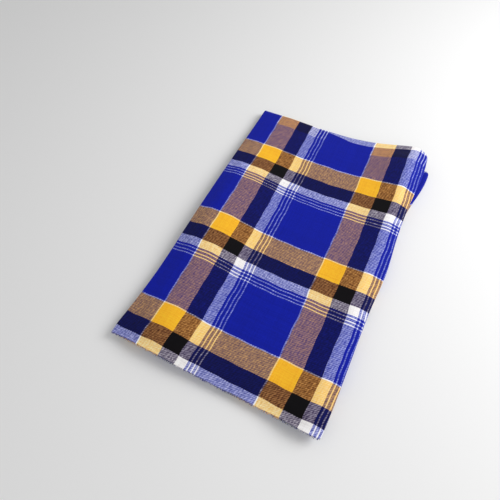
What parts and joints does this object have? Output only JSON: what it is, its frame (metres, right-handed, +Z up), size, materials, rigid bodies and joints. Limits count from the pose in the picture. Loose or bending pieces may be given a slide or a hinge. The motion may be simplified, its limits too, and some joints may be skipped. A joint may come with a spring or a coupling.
{
  "type": "folded shuka",
  "caption": "Checked shuka cloth folded into a flat oblong stack, with soft rolled folds, a loose raised corner and a plain cut end that hangs a little over the lower fold.",
  "frame": {"origin": "centre of the bounding box at the surface that the folded cloth lies on", "axes": "+X across the folded cloth to the thick folded side, +Y along it to the far fold, +Z up"},
  "size_m": [0.411, 0.6244, 0.041],
  "materials": {
    "woven_check": "soft matte twill weave in a blue, yellow, black and white check"
  },
  "bodies": {
    "root": {"shuka_cloth": "woven_check"}
  },
  "joints": []
}
